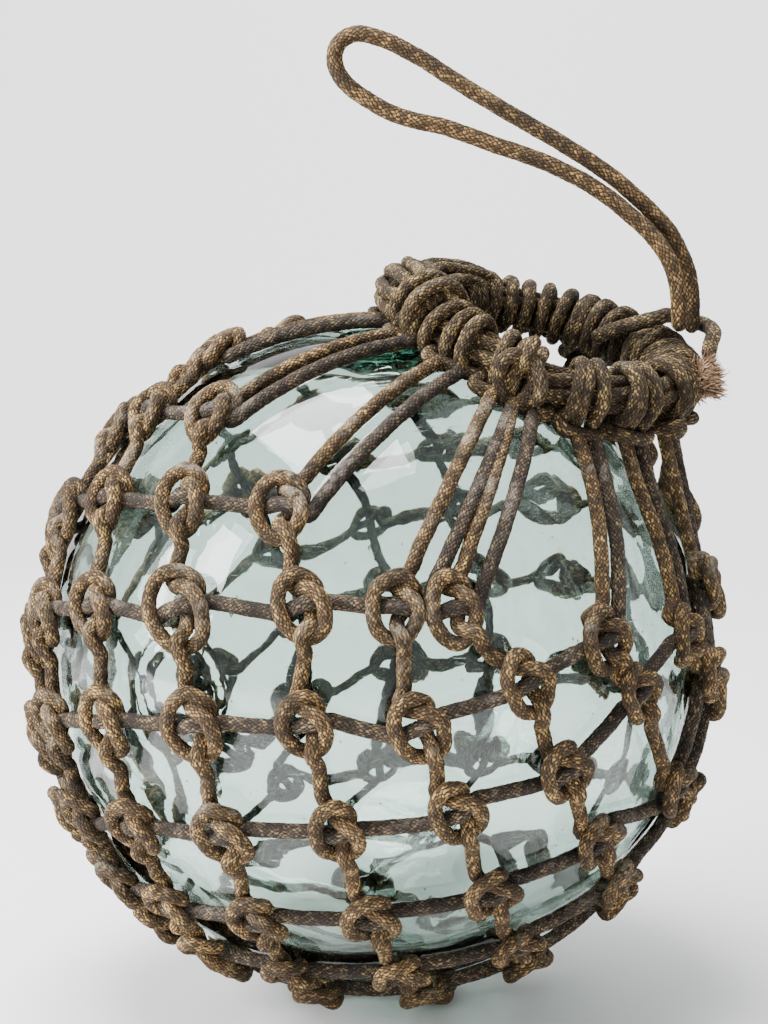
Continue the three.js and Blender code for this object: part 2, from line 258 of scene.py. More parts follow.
class Ropes:
    """Gathers rope tubes into one mesh, with a map of turns round and metres along, and a
    tone from 0 to 1 for each vertex."""

    def __init__(self, sides):
        self.sides = sides
        self.points, self.quads, self.maps, self.tones, self.caps = [], [], [], [], []
        self.count = 0
        self.length = 0.0

    def lay(self, line, radius, tone, seed, swell=0.05):
        """A tube: circles about the centre line, their radius swelling and shrinking with
        slow waves along and round, narrowed to a short dome and a small flat cap at each
        end."""
        steps, sides = len(line), self.sides
        side, over = frames_along(line)
        run = np.concatenate([[0], np.cumsum(np.linalg.norm(np.diff(line, axis=0), axis=1))])
        turn = 2 * np.pi * np.arange(sides) / sides
        waves = (np.sin(run * 0.9 + 7 * seed)[:, None] * 0.4
                 + np.sin(run[:, None] * 2.1 + 2 * turn + 11 * seed) * 0.6
                 + np.sin(run[:, None] * 0.37 - turn + 5 * seed) * 0.5)
        size = radius * (1 + swell * waves)
        ends = np.minimum(run, run[-1] - run) / radius
        size = size * np.sqrt(np.clip(1 - (1 - np.clip(ends, 0, 1)) ** 2, 0.08, 1))[:, None]
        ring = (side[:, None, :] * np.cos(turn)[None, :, None]
                + over[:, None, :] * np.sin(turn)[None, :, None])
        points = line[:, None, :] + ring * size[:, :, None]
        index = self.count + np.arange(steps * sides).reshape(steps, sides)
        nxt = np.roll(index, -1, axis=1)
        quads = np.stack([index[:-1], nxt[:-1], nxt[1:], index[1:]], axis=-1).reshape(-1, 4)
        u = np.arange(sides + 1) / sides
        corner_u = np.stack([u[:-1], u[1:], u[1:], u[:-1]], axis=-1)
        corner_v = np.stack([run[:-1], run[:-1], run[1:], run[1:]], axis=-1) + MAP_SHIFT_MM * seed
        maps = np.empty((steps - 1, sides, 4, 2))
        maps[..., 0] = corner_u[None]
        maps[..., 1] = corner_v[:, None] * MM
        self.points.append(points.reshape(-1, 3))
        self.quads.append(quads)
        self.maps.append(maps.reshape(-1, 2))
        self.tones.append(np.full(steps * sides, tone) if np.isscalar(tone)
                          else np.repeat(tone, sides))
        self.caps.append((index[0][::-1].tolist(), (0.5, float(maps[0, 0, 0, 1]))))
        self.caps.append((index[-1].tolist(), (0.5, float(maps[-1, 0, 2, 1]))))
        self.count += steps * sides
        self.length += run[-1]

    def mesh(self, name):
        """One mesh of all the ropes laid, with the map "lay" and the attribute "tone"."""
        quads = np.concatenate(self.quads)
        faces = quads.tolist() + [cap for cap, _ in self.caps]
        data = bpy.data.meshes.new(name)
        data.from_pydata((np.concatenate(self.points) * MM).tolist(), [], faces)
        maps = np.concatenate(self.maps + [np.tile(uv, (len(cap), 1)) for cap, uv in self.caps])
        layer = data.uv_layers.new(name="lay")
        layer.data.foreach_set("uv", maps.ravel())
        tone = data.attributes.new("tone", "FLOAT", "POINT")
        tone.data.foreach_set("value", np.concatenate(self.tones))
        data.shade_smooth()
        return new_object(name, data)


# ---- Camera -----------------------------------------------------------------------------
VIEW_DOWN_DEG = 10
AIM_UP_DEG = 3.66
EYE_AWAY_M = 1.0
EYE_RIGHT_M = 0.0042
LENS_MM = 75.8
NEAREST_M = 0.05


def make_camera():
    """Looks along +Y, ten degrees down on the ball and aimed a little above it."""
    rise = np.radians(VIEW_DOWN_DEG)
    aim = np.radians(VIEW_DOWN_DEG - AIM_UP_DEG)
    eye = BALL_AT * MM + EYE_AWAY_M * np.array([0, -np.cos(rise), np.sin(rise)])
    data = bpy.data.cameras.new("camera")
    data.lens = LENS_MM
    data.clip_start = NEAREST_M
    made = new_object("camera", data)
    made.location = eye + np.array([EYE_RIGHT_M, 0, 0])
    made.rotation_euler = (np.pi / 2 - aim, 0, 0)
    bpy.context.scene.camera = made


make_camera()

# ---- Handle -----------------------------------------------------------------------------
HANDLE_ROUTE = [
    (145.5, 8, 146), (144.5, 6, 166.5), (142, 5, 176.5), (134, 4, 192), (122, 3, 204.5),
    (106.5, 2.5, 217.5), (85.5, 2, 231), (60, 2, 245.5), (37, 1, 259), (19.5, 1, 270),
    (2.5, 0, 278), (-8.5, 0, 280), (-16, 0, 276), (-18, 0, 269), (-15, 0, 260.5),
    (-3.5, 0, 251), (11.5, 0, 243.5), (32, -1, 238.5), (53.5, -1, 231), (76.5, -2, 223),
    (98.5, -2.5, 212), (114, -3, 200.5), (127, -4, 188), (134.5, -5, 175.5),
    (137, -6, 164.5), (138, -6, 147)]
TURN_ROUTE = [(102, 27, 143), (116, 14, 149), (129, 4, 153), (135, 13, 154),
              (145, 16.5, 152), (153, 10, 149), (154, -2, 146), (151, -12, 141),
              (149, -19, 136)]
HANDLE_SIDES = 20
HANDLE_STEP_MM = 1.1


def make_handle():
    """One stiff rope bent double: a tube along its route, whose feet end side by side over
    the right of the collar."""
    line = smooth_path(np.array(HANDLE_ROUTE) + BALL_AT, HANDLE_STEP_MM)
    rope = Ropes(HANDLE_SIDES)
    rope.lay(line, HANDLE_ROPE_MM / 2, 0.6, 0.31, swell=0.035)
    made = rope.mesh("handle_rope")
    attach(made, "root")
    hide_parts("handle_loop")
    return made


handle = make_handle()

# ---- Knots ------------------------------------------------------------------------------
# An overhand knot of the column's rope, from above: x to the right, y up the column, z off
# the glass, in millimetres. It passes round the row's rope, which runs straight through.
KNOT = np.array([
    (-3.0, 15.2, 3.2), (-2.6, 11.0, 3.2), (-0.8, 8.0, 4.7), (2.4, 6.2, 8.4),
    (6.2, 3.4, 10.0), (8.3, -0.8, 9.4), (7.9, -5.6, 7.2), (5.1, -10.0, 4.6),
    (0.7, -11.8, 3.2), (-4.3, -10.3, 4.2), (-7.7, -5.7, 7.1), (-8.7, 0.0, 9.2),
    (-7.7, 6.0, 9.7), (-4.4, 10.4, 9.4), (0.3, 12.1, 8.9), (4.5, 10.3, 7.1),
    (6.4, 6.2, 4.2), (4.4, 2.2, 3.1), (2.2, -2.0, 3.4), (1.4, -6.5, 6.1),
    (1.0, -11.4, 8.9), (0.6, -15.6, 6.6)])
ROW_THROUGH = np.array([
    (-9.4, 0.0, 3.2), (-4.6, 0.3, 6.0), (-0.4, 0.6, 8.1), (3.4, 0.5, 8.1),
    (7.0, 0.2, 5.0), (9.8, 0.0, 3.2)])
LEG_UP_MM = NET_ROPE_MM / 2 + 0.15
# Knots tied loosely, by level and column: their width and length against the others'.
OPEN_KNOTS = {(2, 3): (1.38, 1.3), (3, 3): (1.2, 1.1)}
KNOT_TILT_DEG = 9
KNOT_UNEVEN = 0.08


class Knot:
    """One knot's own frame on the ball and its hand-made unevenness."""

    def __init__(self, level, column):
        self.key = (level, column % COLUMNS)
        self.way = knot_way(level, column)
        self.spot = BALL_AT + self.way * BALL_R
        up = self.lead(level - 1, column)
        down = self.lead(level + 1, column)
        self.y = flat_to(self.way, up - down)
        tilt = np.radians(KNOT_TILT_DEG * spread_of(level, column, 1))
        across = np.cross(self.y, self.way)
        self.x = np.cos(tilt) * across + np.sin(tilt) * self.y
        self.y = np.cos(tilt) * self.y - np.sin(tilt) * across
        wide, long = OPEN_KNOTS.get(self.key, (1, 1))
        self.size = np.array([wide + KNOT_UNEVEN * spread_of(level, column, 2),
                              long + KNOT_UNEVEN * spread_of(level, column, 3),
                              1 + KNOT_UNEVEN / 2 * spread_of(level, column, 4)])

    def lead(self, level, column):
        """Unit direction on the ball from this knot towards another, or where there is none,
        towards the collar above or the middle of the underside."""
        if has_knot(level, column):
            target = knot_way(level, column) * BALL_R + BALL_AT
        elif level > LAST_LEVEL:
            target = BALL_AT - net_axis * BALL_R
        else:
            target = collar_core(collar_angle(self.spot))
        return flat_to(self.way, target - self.spot)

    def hitch(self):
        """The angle round the collar, in degrees, at which its legs are hitched."""
        return np.degrees(collar_angle(self.spot))

    def ends(self, points):
        """The knot's own points with its first and last ones put out along its legs."""
        level, column = self.key
        points = np.array(points)
        for row, way, out, high in ((0, (level - 1, column), 15.5, 3.2),
                                    (-2, (level + 1, column), 11.0, 8.9),
                                    (-1, (level + 1, column), 16.5, 5.6)):
            lead = self.lead(*way)
            points[row] = lead @ self.x * out, lead @ self.y * out, high
        points[0] += (-2.2, 0, 0)
        return points

    def place(self, points, loose=0.0):
        """Points of the knot's own frame, moved unevenly by up to `loose` millimetres: x and
        y are laid out square to the knot's way, and z is the height off the glass there."""
        points = np.atleast_2d(points) * self.size
        count = np.arange(len(points))
        stir = np.stack([spread_of(*self.key, 10 + k + count) for k in (0, 20, 40)], axis=1)
        points = points + loose * stir * np.array([1, 1, 0.35])
        spread = points[:, :1] * self.x + points[:, 1:2] * self.y
        flat = self.spot + spread
        out = unit(flat - BALL_AT)
        return BALL_AT + out * (BALL_R + points[:, 2:3])


def over_glass(start, end, shares):
    """Points on the shortest way over the glass between two others: each share of the chord
    is put back at a rope's height off the ball."""
    line = start + (end - start) * np.asarray(shares)[:, None]
    return BALL_AT + unit(line - BALL_AT) * (BALL_R + LEG_UP_MM)


HITCH_HALF = 4.0        # half the angle between a hitch's two legs, in degrees
# A column's rope underneath: how far from the net's axis, and how high off the glass.
CLOSING_POINTS = ((30, 3.8), (23, 5.5), (17, 7))


def hitch_leg(middle, last):
    """The run of a leg from its knot up to the foot of its hitch on the collar: straight,
    and only pushed off the glass where it would cut into it."""
    foot = collar_spot(np.radians(middle), np.radians(-70), 15.0)
    line = last + (foot - last) * np.array([0.12, 0.4, 0.7, 1.0])[:, None]
    return clear_of_glass(line, BALL_R + LEG_UP_MM)


knots = {(level, column): Knot(level, column)
         for level in range(-1, LAST_LEVEL + 1) for column in range(COLUMNS)
         if has_knot(level, column)}


def closing_foot(column):
    """The end of a column's rope underneath: points ever nearer the net's axis and ever
    higher off the glass, in the plane of the column's last knot."""
    lead = flat_to(-net_axis, knots[(LAST_LEVEL, column % COLUMNS)].way)
    return np.array([BALL_AT + unit(-net_axis * BALL_R + lead * out) * (BALL_R + up)
                     for out, up in CLOSING_POINTS])


def column_rope(column):
    """From the collar down through every knot of one column to its end underneath."""
    levels = [level for level in range(-1, LAST_LEVEL + 1) if (level, column) in knots]
    top = knots[(levels[0], column)]
    points = []
    for level in levels:
        knot = knots[(level, column)]
        tied = knot.place(knot.ends(KNOT), loose=0.5)
        if points:
            points.append(over_glass(points[-1][-1], tied[0], (0.22, 0.5, 0.78)))
        else:
            points.append(hitch_leg(top.hitch() - HITCH_HALF, tied[0])[::-1])
        points.append(tied)
    points.append(closing_foot(column))
    return np.vstack(points)


def row_rope(column):
    """From the collar down one row to its lowest knot: each knot is a level lower and a
    column back."""
    level = -1 if (-1, column) in knots else 0
    top = knots[(level, column % COLUMNS)]
    points = []
    while level <= LAST_LEVEL:
        through = knots[(level, column % COLUMNS)].place(ROW_THROUGH, loose=0.4)[::-1]
        if points:
            points.append(over_glass(points[-1][-1], through[0], (0.2, 0.5, 0.8)))
        else:
            points.append(hitch_leg(top.hitch() + HITCH_HALF, through[0])[::-1])
        points.append(through)
        level, column = level + 1, column - 1
    return np.vstack(points)


NET_STEP_MM = 1.3


def finish_rope(made, node="net"):
    """A rope piece rides on the float's body and stands in for its node."""
    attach(made, "root")
    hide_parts(node)
    return made


def make_net():
    """The columns in three pieces and the rows in one."""
    pieces = []
    for part, columns in enumerate((range(0, 5), range(5, 9), range(9, 13))):
        ropes = Ropes(ROPE_SIDES)
        for column in columns:
            line = smooth_path(column_rope(column), NET_STEP_MM)
            line = settle_on_glass(line, NET_ROPE_MM / 2)
            ropes.lay(line, NET_ROPE_MM / 2, 0.5 + 0.2 * spread_of(column, 7), hashed(column, 3))
        pieces.append(finish_rope(ropes.mesh("net_columns_%d" % (part + 1))))
    ropes = Ropes(12)
    for column in range(COLUMNS):
        line = settle_on_glass(smooth_path(row_rope(column), NET_STEP_MM), NET_ROPE_MM / 2)
        ropes.lay(line, NET_ROPE_MM / 2, 0.3 + 0.15 * spread_of(column, 8), hashed(column, 5))
    pieces.append(finish_rope(ropes.mesh("net_rows")))
    return pieces


net_pieces = make_net()

# ---- Collar -----------------------------------------------------------------------------
BACK_TURNS = (6, 16, 26, 36, 46, 55, 64, 73, 82, 91, 100, 110, -8, -20, -62, -84)
FRONT_TURNS = (203, 211, 219)
BUNDLE_STRANDS = [(0, 14.5), (24, 16.0), (48, 17.0), (72, 17.5), (97, 16.5), (122, 15.0)]
CORE_ROPES = 6
CORE_R = 6.0
CORE_TURNS = 1.5
COLLAR_STEP_MM = 1.25
TURN_POINTS = 12


def collar_line(points, loose=0.0, key=0):
    """A centre line through (angle, turn, away) triples in degrees and millimetres, each
    moved unevenly by `loose`."""
    p = np.asarray(points, float)
    count = np.arange(len(p))
    stir = np.stack([spread_of(key, 3 + k + count) for k in (0, 31, 62)], axis=1)
    p = p + loose * stir * np.array([1.0, 6.0, 0.5])
    return collar_spot(np.radians(p[:, 0]), np.radians(p[:, 1]), p[:, 2])


def hitch_points(middle, drop):
    """A cow hitch round the collar, as (angle, turn, away): up one leg outside, over the top
    and down inside, out below, slanting across both legs, in again below, up and over."""
    left, right = middle - HITCH_HALF * 0.8, middle + HITCH_HALF * 0.8
    tight, over = 12.0, 17.4
    return [(left - 0.3, -72, 15.5), (left, -44, 12.2), (left, 0, tight), (left, 50, tight),
            (left, 100, tight), (left, 150, tight), (left - 0.5, 200, tight),
            (left - 3.5, 240, 11.5), (left - 6.5, 296 + drop, 15.5),
            (left - 4.5, 318 + drop, over + 0.8), (middle, 305, over + 1.8),
            (right + 4.5, 290 - drop, over + 0.8), (right + 6.5, 270 - drop, 15.0),
            (right + 3.0, 236, 11.5), (right + 0.5, 200, tight), (right, 150, tight),
            (right, 100, tight), (right, 50, tight), (right, 0, tight),
            (right, -44, 12.2), (right + 0.3, -72, 15.5)]


def wrap_points(at, first, last, away, slant):
    """One turn round the collar from one turn angle to another, slanting along it."""
    turn = np.linspace(first, last, TURN_POINTS)
    return np.stack([at + slant * (turn - first) / (last - first), turn,
                     np.full(TURN_POINTS, float(away))], axis=1)


def lay_on_collar(ropes, points, tone, key, loose=0.5):
    """Lays one rope by its (angle, turn, away) points, kept off the glass."""
    line = smooth_path(collar_line(points, loose, key), COLLAR_STEP_MM)
    line = settle_on_glass(line, 3.0)
    ropes.lay(line, NET_ROPE_MM / 2, tone, hashed(key, 6), swell=0.06)


def make_collar():
    """Six core ropes that wind round the mouth, a cow hitch for each pair of legs, spare
    turns between them, and a bundle of strands on the left side with three turns by it."""
    ropes = Ropes(ROPE_SIDES)
    core = np.linspace(0, 360, 73)
    for k in range(CORE_ROPES):
        turn = core * CORE_TURNS + 360 / CORE_ROPES * k
        points = np.stack([core, turn, np.full(len(core), CORE_R)], axis=1)
        lay_on_collar(ropes, points, 0.2, 40 + k, 0.2)
    hitches = [np.degrees(collar_angle(knot.spot)) for (level, column), knot in knots.items()
               if (level - 1, column) not in knots]
    for k, middle in enumerate(hitches):
        tone = 0.45 + 0.2 * spread_of(k, 9)
        lay_on_collar(ropes, hitch_points(middle, 10 * spread_of(k, 5)), tone, k)
    for k, at in enumerate(BACK_TURNS):
        away = 11.6 + 0.6 * spread_of(k, 2)
        lay_on_collar(ropes, wrap_points(at, -80, 250, away, 6.0), 0.25, 60 + k)
    for k, (turn, away) in enumerate(BUNDLE_STRANDS):
        angles = np.linspace(112 + 6 * spread_of(k, 1), 218 + 5 * spread_of(k, 2), 11)
        rise = 1 - 0.35 * np.abs(np.linspace(-1, 1, 11)) ** 4
        points = np.stack([angles, turn + 7 * np.sin(angles * 0.09 + k), away * rise], axis=1)
        lay_on_collar(ropes, points, 0.55, 80 + k)
    for k, at in enumerate(FRONT_TURNS):
        turn = np.linspace(-75, 215, TURN_POINTS)
        away = 12.0 + 6.5 * np.clip(np.sin(np.radians(turn + 25)), 0, 1) * (k < 2)
        lay_on_collar(ropes, np.stack([at + turn * 0.03, turn, away], axis=1), 0.7, 90 + k)
    return finish_rope(ropes.mesh("collar_ropes"), "collar")


def make_stopper():
    """A small tight knot on the front of the collar, a rope wound twice round itself by
    sines of one turn, with its pale end standing up."""
    ropes = Ropes(ROPE_SIDES)
    turn = np.linspace(0, 4.2 * np.pi, 34)
    angle = -103 + 6.5 * np.cos(turn) + 1.5 * np.cos(turn * 0.5)
    points = np.stack([angle, 2 + 38 * np.sin(turn), 14 + 3.2 * np.sin(turn * 1.5 + 1)], axis=1)
    lay_on_collar(ropes, points, 0.15, 95, 0.3)
    lay_on_collar(ropes, [(-103, 20, 15.5), (-102, 48, 17.5), (-101, 70, 21)], 0.95, 96, 0.1)
    return finish_rope(ropes.mesh("stopper_knot"), "collar")


def strands(name, roots, tips, radius, bend, tone, node, seed):
    """Loose fibres: three-sided needles from roots to tips, each bowed sideways by a share
    of its length and closed at both ends."""
    draw = np.random.default_rng(seed)
    count, steps = len(roots), 4
    way = tips - roots
    sag = draw.normal(size=(count, 3)) * np.linalg.norm(way, axis=1, keepdims=True) * bend
    share = np.linspace(0, 1, steps)
    line = (roots[:, None] + way[:, None] * share[None, :, None]
            + sag[:, None] * np.sin(np.pi * 0.8 * share)[None, :, None])
    side = unit(np.cross(way, draw.normal(size=(count, 3))))
    over = unit(np.cross(way, side))
    turn = 2 * np.pi * np.arange(3) / 3
    ring = side[:, None] * np.cos(turn)[None, :, None] + over[:, None] * np.sin(turn)[None, :, None]
    thin = radius * np.array([1.0, 0.8, 0.55, 0.2])
    points = line[:, :, None] + ring[:, None] * thin[None, :, None, None]
    base = (np.arange(count) * steps * 3)[:, None, None, None]
    step = np.arange(steps - 1)[None, :, None, None] * 3
    corner = np.arange(3)
    quad = np.stack([corner, (corner + 1) % 3, (corner + 1) % 3 + 3, corner + 3], axis=-1)
    quads = (base + step + quad[None, None]).reshape(-1, 4)
    ends = np.vstack([base[:, 0, 0] + np.array([2, 1, 0]),
                      base[:, 0, 0] + 3 * (steps - 1) + np.array([0, 1, 2])])
    data = bpy.data.meshes.new(name)
    data.from_pydata((points.reshape(-1, 3) * MM).tolist(), [], quads.tolist() + ends.tolist())
    shade = data.attributes.new("tone", "FLOAT", "POINT")
    shade.data.foreach_set("value", np.repeat(draw.uniform(*tone, count), steps * 3))
    return finish_rope(new_object(name, data), node)


TUFT_FIBRES = 1500
TUFT_LOCKS = 22


def make_tuft():
    """The shredded end of a rope at the right of the collar: fibres drawn about a few locks,
    fanning outwards."""
    draw = np.random.default_rng(11)
    root = collar_spot(np.radians(-16), np.radians(24), 12.0)
    lead = unit(collar_out(np.radians(-24)) * 0.75 + COLLAR_UP * 0.5)
    lock = draw.normal(size=(TUFT_LOCKS, 3))[draw.integers(0, TUFT_LOCKS, TUFT_FIBRES)]
    fan = unit(lead + lock * 0.6 + draw.normal(size=(TUFT_FIBRES, 3)) * 0.5)
    roots = root + lock * 4.6 + draw.normal(size=(TUFT_FIBRES, 3)) * 1.5
    tips = roots + fan * draw.uniform(2.5, 6.5, (TUFT_FIBRES, 1))
    return strands("frayed_end", roots, tips, 0.42, 0.2, (0.5, 1.0), "collar", 4)


def make_turn():
    """The collar's rope that comes up behind the handle's legs, round them and in again."""
    ropes = Ropes(14)
    line = smooth_path(np.array(TURN_ROUTE) + BALL_AT, 1.2)
    ropes.lay(line, NET_ROPE_MM / 2 + 0.4, 0.5, 0.53)
    return finish_rope(ropes.mesh("handle_turn_rope"), "handle_turn")


collar_pieces = [make_collar(), make_stopper(), make_turn()]
tuft = make_tuft()

# ---- Glass ------------------------------------------------------------------------------
SEAL_WAY = unit([0.015, -0.205, 0.979])
DISC_WAY = unit([-0.533, -0.846, 0.039])
DISC_R = 19.5
SKIN_IN_MM = 0.45       # the mean skin lies this far inside the ball's radius
SEED_DEPTH_MM = 2.6
SEAL_DEPTH_MM = 7.5
SEAL_R = 16.5
SEAL_HALF = 9.0
SEAL_TOP_SHARE = 0.55   # its outer half is flatter than its inner half


def ball_grid(rows, columns, radius_of):
    """A closed ball about BALL_AT: radius_of(directions) on a grid of polar angle and
    azimuth, with one point at each pole."""
    polar = np.linspace(0, np.pi, rows + 1)[1:-1]
    around = np.linspace(0, 2 * np.pi, columns, endpoint=False)
    p, a = np.meshgrid(polar, around, indexing="ij")
    ways = np.stack([np.sin(p) * np.cos(a), np.sin(p) * np.sin(a), np.cos(p)], axis=-1)
    ways = np.vstack([ways.reshape(-1, 3), (0, 0, 1), (0, 0, -1)])
    points = BALL_AT + ways * radius_of(ways)[:, None]
    index = np.arange(len(polar) * columns).reshape(len(polar), columns)
    nxt = np.roll(index, -1, axis=1)
    quads = np.stack([index[:-1], index[1:], nxt[1:], nxt[:-1]], axis=-1).reshape(-1, 4)
    top = np.full(columns, len(ways) - 2)
    low = np.full(columns, len(ways) - 1)
    fans = np.vstack([np.stack([top, index[0], nxt[0]], axis=1),
                      np.stack([low, nxt[-1], index[-1]], axis=1)])
    return points, quads, fans


def outer_radius(ways):
    """The blown skin: slow waves made of products of sines, and the round pad on its left
    side, a smooth low step with two bell-shaped ridges for a rim."""
    waves = 0.28 * np.sin(ways @ (5, 3, 4)) * np.sin(ways @ (-3, 6, 2))
    waves += 0.10 * np.sin(ways @ (14, -9, 17) + 2) * np.sin(ways @ (11, 16, -8))
    off = np.arccos(np.clip(ways @ DISC_WAY, -1, 1)) * BALL_R
    rim = 0.55 * np.exp(-((off - DISC_R) / 0.9) ** 2) + 0.35 * np.exp(
        -((off - DISC_R + 3.2) / 0.8) ** 2)
    pad = 0.25 / (1 + np.exp((off - DISC_R) / 0.5))
    return BALL_R - SKIN_IN_MM + waves + rim + pad


def inner_radius(ways):
    """The inner wall: slow waves made of products of sines, and bell-shaped swellings
    inwards at the seal and at the underside, where blown glass is thicker."""
    waves = 0.6 * np.sin(ways @ (4, -5, 3) + 1) * np.sin(ways @ (2, 3, -6))
    waves += 0.30 * np.sin(ways @ (13, 8, -10)) * np.sin(ways @ (-9, 12, 7) + 1)
    near = np.exp(-(np.arccos(np.clip(ways @ SEAL_WAY, -1, 1)) / 0.16) ** 2)
    low = np.exp(-(np.arccos(np.clip(-ways[:, 2], -1, 1)) / 0.5) ** 2)
    return BALL_R - WALL_MM + waves - 7 * near - 2.5 * low


def make_glass():
    """The blown ball: an outer skin and an inner wall turned to the hollow."""
    points, quads, fans = ball_grid(200, 380, outer_radius)
    hollow, inner_quads, inner_fans = ball_grid(90, 160, inner_radius)
    faces = (quads.tolist() + fans.tolist()
             + (inner_quads[:, ::-1] + len(points)).tolist()
             + (inner_fans[:, ::-1] + len(points)).tolist())
    return finish_glass("glass_float", np.vstack([points, hollow]), faces)


def finish_glass(name, points, faces):
    """A smooth glass piece that rides on the float's body and stands in for the ball."""
    data = bpy.data.meshes.new(name)
    data.from_pydata((points * MM).tolist(), [], faces)
    data.shade_smooth()
    made = new_object(name, data)
    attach(made, "root")
    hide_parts("glass_ball")
    return made


def make_seal():
    """The lump that closes the blowing hole, inside the ball: a lens, its width a cosine and
    its height a sine of one angle, with sides folded by sines of the turn."""
    turn = np.linspace(0, 2 * np.pi, 72, endpoint=False)
    rise = np.radians(np.linspace(-88, 88, 40))
    r, t = np.meshgrid(rise, turn, indexing="ij")
    across = flat_to(SEAL_WAY, (1, 0, 0))
    along = np.cross(SEAL_WAY, across)
    fold = 1 + 0.10 * np.sin(3 * t + 2 * r) + 0.06 * np.sin(7 * t - 5 * r) + 0.04 * np.sin(
        13 * t + 4 * r)
    flat = SEAL_R * np.cos(r) * fold
    high = SEAL_HALF * np.sin(r) * (1 + 0.12 * np.sin(4 * t + 1)) * np.where(
        r > 0, SEAL_TOP_SHARE, 1.0)
    points = (BALL_AT + SEAL_WAY * (BALL_R - SEAL_DEPTH_MM)
              + flat[..., None] * (np.cos(t)[..., None] * across + np.sin(t)[..., None] * along)
              + high[..., None] * SEAL_WAY).reshape(-1, 3)
    index = np.arange(r.size).reshape(r.shape)
    nxt = np.roll(index, -1, axis=1)
    quads = np.stack([index[:-1], nxt[:-1], nxt[1:], index[1:]], axis=-1).reshape(-1, 4)
    faces = quads.tolist() + [index[0][::-1].tolist(), index[-1].tolist()]
    return finish_glass("glass_seal", points, faces)


def make_seeds(count=520):
    """Small gas bubbles in the wall: drawn-out octahedra a little below the skin."""
    draw = np.random.default_rng(3)
    ways = unit(draw.normal(size=(count, 3)))
    size = draw.uniform(0.18, 0.5, count) * (1 + 1.3 * (draw.uniform(size=count) > 0.93))
    corner = np.array([(1, 0, 0), (-1, 0, 0), (0, 1, 0), (0, -1, 0), (0, 0, 1), (0, 0, -1)])
    shape = corner[None] * size[:, None, None] * np.array([1.0, 1.0, 1.6])
    points = BALL_AT + ways[:, None] * (BALL_R - SEED_DEPTH_MM) + shape
    side = np.array([(0, 2, 4), (2, 1, 4), (1, 3, 4), (3, 0, 4),
                     (2, 0, 5), (1, 2, 5), (3, 1, 5), (0, 3, 5)])
    faces = (side[None] + 6 * np.arange(count)[:, None, None]).reshape(-1, 3)
    return finish_glass("glass_seeds", points.reshape(-1, 3), faces.tolist())


glass = make_glass()
seal = make_seal()
seeds = make_seeds()


# ---- Material helpers -------------------------------------------------------------------
class Nodes:
    """Adds nodes to a tree, each call giving back the node's first output."""

    def __init__(self, tree):
        self.tree = tree

    def add(self, kind, inputs=(), **settings):
        node = self.tree.nodes.new(kind)
        for key, value in settings.items():
            setattr(node, key, value)
        for key, value in dict(inputs).items():
            if isinstance(value, bpy.types.NodeSocket):
                self.tree.links.new(value, node.inputs[key])
            else:
                node.inputs[key].default_value = value
        return node

    def math(self, operation, a, b=0.0, c=0.0, clamp=False):
        return self.add("ShaderNodeMath", {0: a, 1: b, 2: c}, operation=operation,
                        use_clamp=clamp).outputs[0]

    def noise(self, vector, scale, detail=3.0, rough=0.55):
        return self.add("ShaderNodeTexNoise", {"Vector": vector, "Scale": scale,
                        "Detail": detail, "Roughness": rough}).outputs["Fac"]

    def step(self, value, low, high):
        """A smooth step from 0 at low to 1 at high."""
        return self.add("ShaderNodeMapRange", {0: value, 1: low, 2: high},
                        interpolation_type="SMOOTHSTEP").outputs[0]

    def mix(self, share, a, b):
        node = self.add("ShaderNodeMix", {0: share, 6: a, 7: b}, data_type="RGBA")
        return node.outputs[2]


def new_group(name, inputs, outputs):
    """A shader node group with named inputs and outputs."""
    tree = bpy.data.node_groups.new(name, "ShaderNodeTree")
    for title, kind, value in inputs:
        socket = tree.interface.new_socket(title, in_out="INPUT", socket_type=kind)
        if value is not None:
            socket.default_value = value
    for title, kind in outputs:
        tree.interface.new_socket(title, in_out="OUTPUT", socket_type=kind)
    return tree, tree.nodes.new("NodeGroupInput").outputs, tree.nodes.new("NodeGroupOutput").inputs


